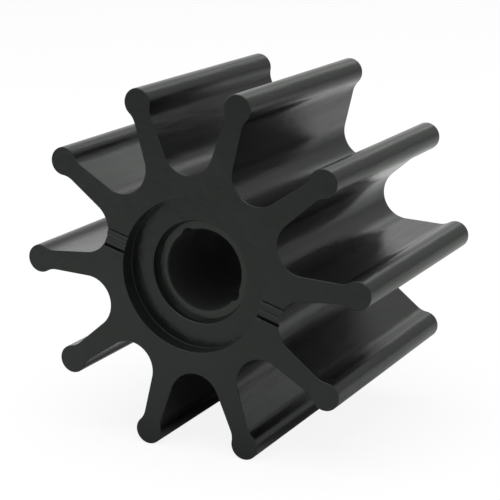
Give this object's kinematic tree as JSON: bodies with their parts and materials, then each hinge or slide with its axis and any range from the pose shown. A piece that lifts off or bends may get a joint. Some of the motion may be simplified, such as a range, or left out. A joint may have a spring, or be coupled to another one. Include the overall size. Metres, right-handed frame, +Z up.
{
  "type": "rubber pump impeller",
  "caption": "Flexible rubber pump impeller: straight vanes with round tip beads on a recessed hub moulded round a bored, grooved drive bush.",
  "frame": {"origin": "on the shaft axis at mid width", "axes": "+Y along the shaft axis, away from the end face seen in the picture; +Z up as the impeller lies on two neighbouring vane tips"},
  "size_m": [0.095, 0.065, 0.0908],
  "materials": {
    "rubber": "black moulded rubber, matt on the end faces and satin on the vanes",
    "bush": "black composite, satin"
  },
  "bodies": {
    "root": {"impeller_body": "rubber", "drive_bush": "bush"}
  },
  "joints": []
}
